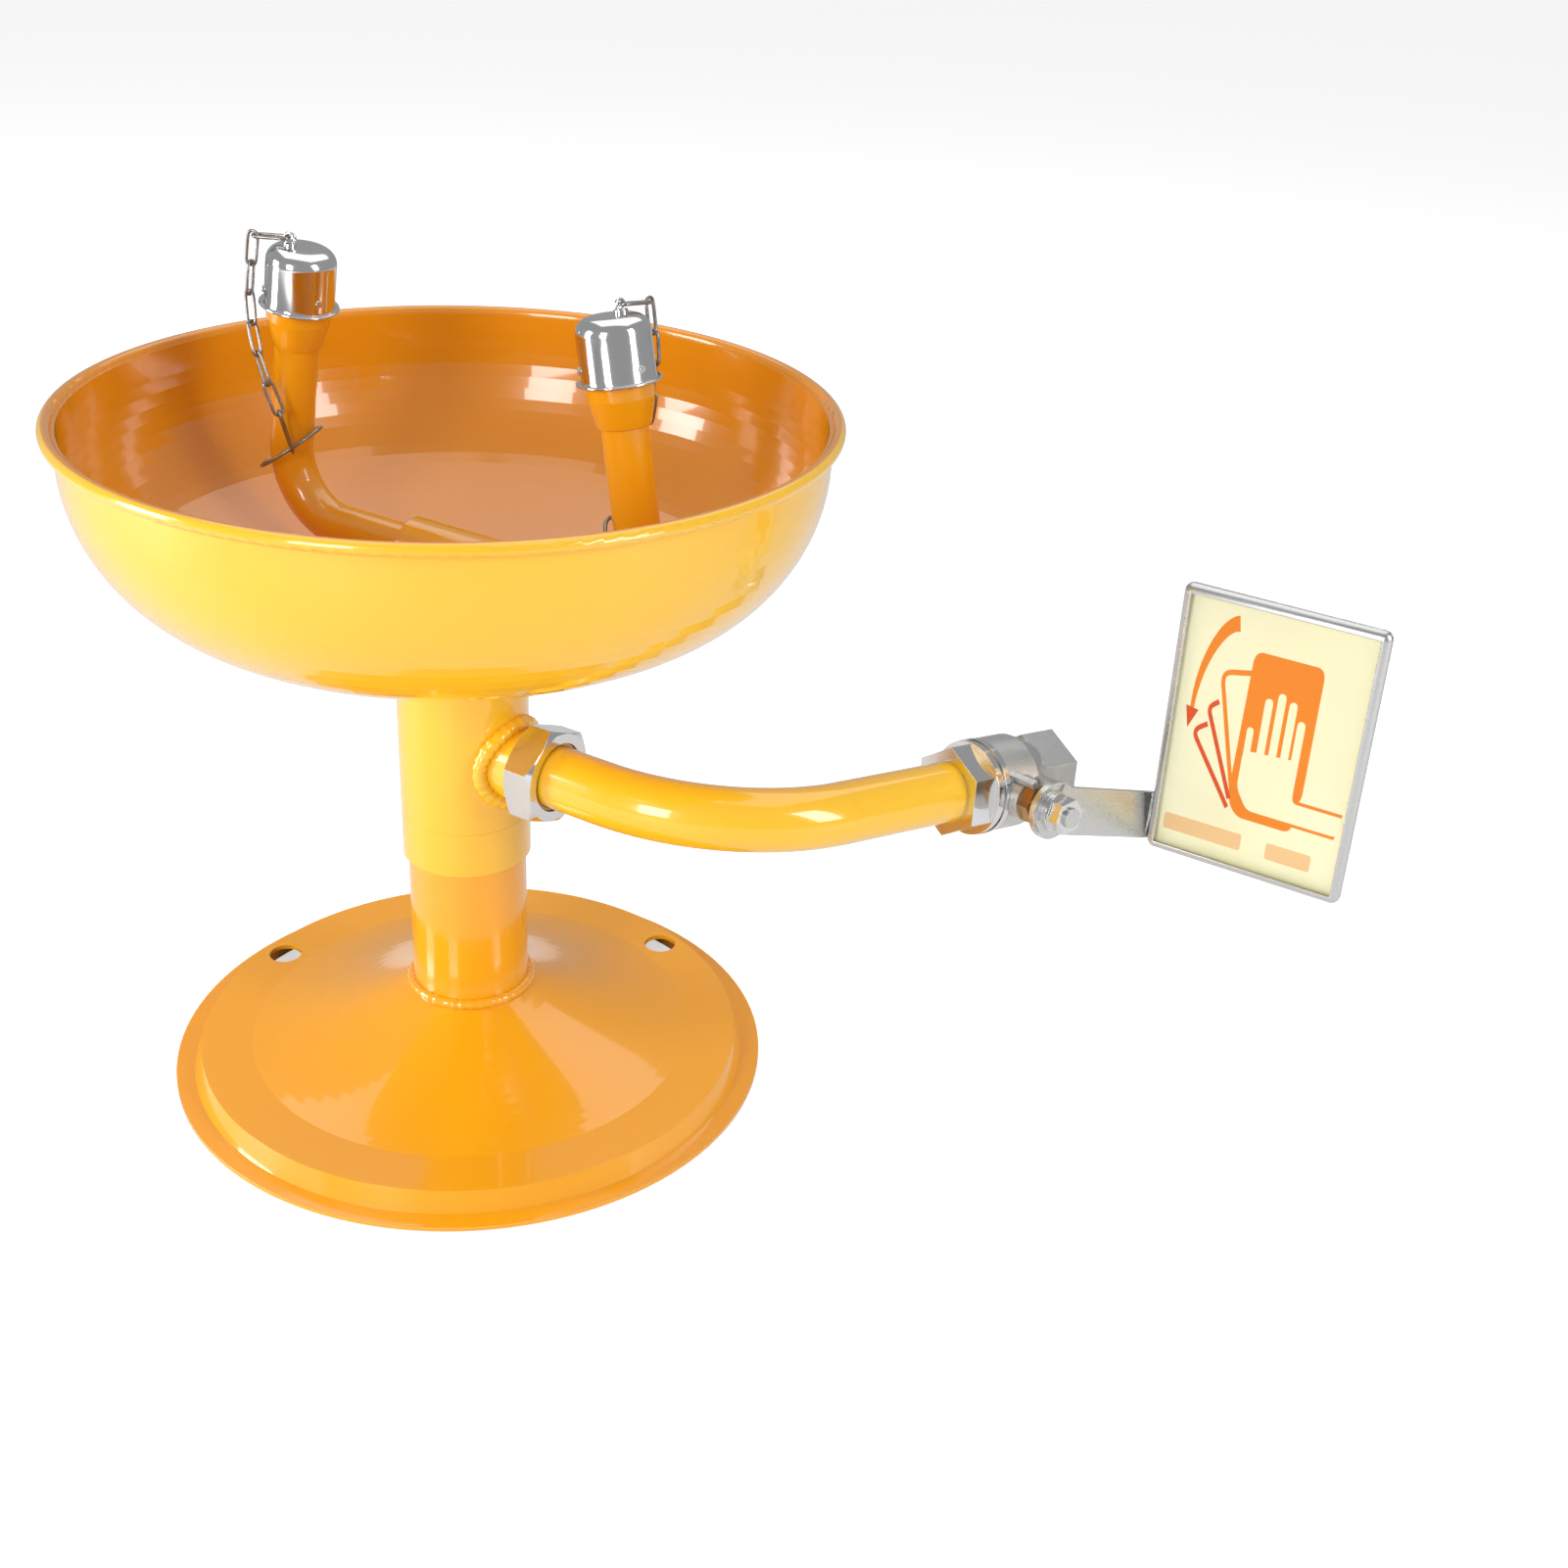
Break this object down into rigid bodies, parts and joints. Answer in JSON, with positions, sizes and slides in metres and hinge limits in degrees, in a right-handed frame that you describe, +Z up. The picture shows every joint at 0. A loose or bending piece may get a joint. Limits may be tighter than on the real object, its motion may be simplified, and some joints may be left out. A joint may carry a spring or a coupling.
{
  "type": "emergency eyewash station",
  "caption": "Bench-mounted emergency eyewash: round bowl, capped spray nozzles on a column, ball valve and push plate at the right rear.",
  "frame": {"origin": "centre of the base on the bench top, on the column's axis", "axes": "+Z up the column; the user stands at -Y; the nozzles lie along X; the water supply enters on the +X side"},
  "size_m": [0.4574, 0.3199, 0.3365],
  "materials": {
    "yellow": "gloss",
    "bright_yellow": "gloss",
    "steel": "satin",
    "polished": "polished",
    "cast_steel": "rough cast",
    "chain_steel": "satin",
    "bronze": "satin",
    "rubber": "matt",
    "white_seal": "matt",
    "filter": "matt",
    "label": "satin"
  },
  "bodies": {
    "station": {"base_flange": "yellow", "base_weld": "yellow", "column_tube": "yellow", "column_socket": "bright_yellow", "upper_column": "bright_yellow", "inlet_boss": "bright_yellow", "boss_weld": "bright_yellow", "supply_elbow": "steel", "supply_riser": "steel", "bowl": "yellow", "drain_gasket": "rubber", "drain_strainer": "steel", "drain_locknut": "steel", "spray_tee": "yellow", "left_arm": "yellow", "right_arm": "yellow", "left_head": "yellow", "right_head": "yellow", "left_spray_disc": "steel", "right_spray_disc": "steel", "left_filter": "filter", "right_filter": "filter", "union_gasket": "rubber", "union_tail": "bronze", "union_nut": "polished", "supply_pipe": "bright_yellow", "valve_end_cap": "polished", "valve_body": "cast_steel", "body_seal": "white_seal", "inlet_seat": "white_seal", "outlet_seat": "white_seal", "stem_packing": "white_seal", "gland_nut": "bronze"},
    "lever": {"valve_ball": "polished", "valve_stem": "steel", "valve_lever": "steel", "lock_washer": "steel", "handle_nut": "polished", "push_plate": "steel", "plate_label": "label", "plate_rivets": "steel"},
    "left_cap": {"left_cap_shell": "polished", "left_cap_rivets": "steel", "left_cap_eye": "polished", "left_chain": "chain_steel", "left_pipe_ring": "chain_steel"},
    "right_cap": {"right_cap_shell": "polished", "right_cap_rivets": "steel", "right_cap_eye": "polished", "right_chain": "chain_steel", "right_pipe_ring": "chain_steel"}
  },
  "joints": [
    {"name": "lever_turn", "type": "hinge", "parent": "station", "child": "lever", "pos_m": [0.17305, 0.12826, 0.12925], "axis": [-0.9382, 0.3321, -0.097], "range_deg": [0, 90]},
    {"name": "left_cap_lift", "type": "slide", "parent": "station", "child": "left_cap", "axis": [0.1599, 0, 0.9871], "range_m": [0, 0.026]},
    {"name": "right_cap_lift", "type": "slide", "parent": "station", "child": "right_cap", "axis": [-0.1599, 0, 0.9871], "range_m": [0, 0.026]}
  ]
}
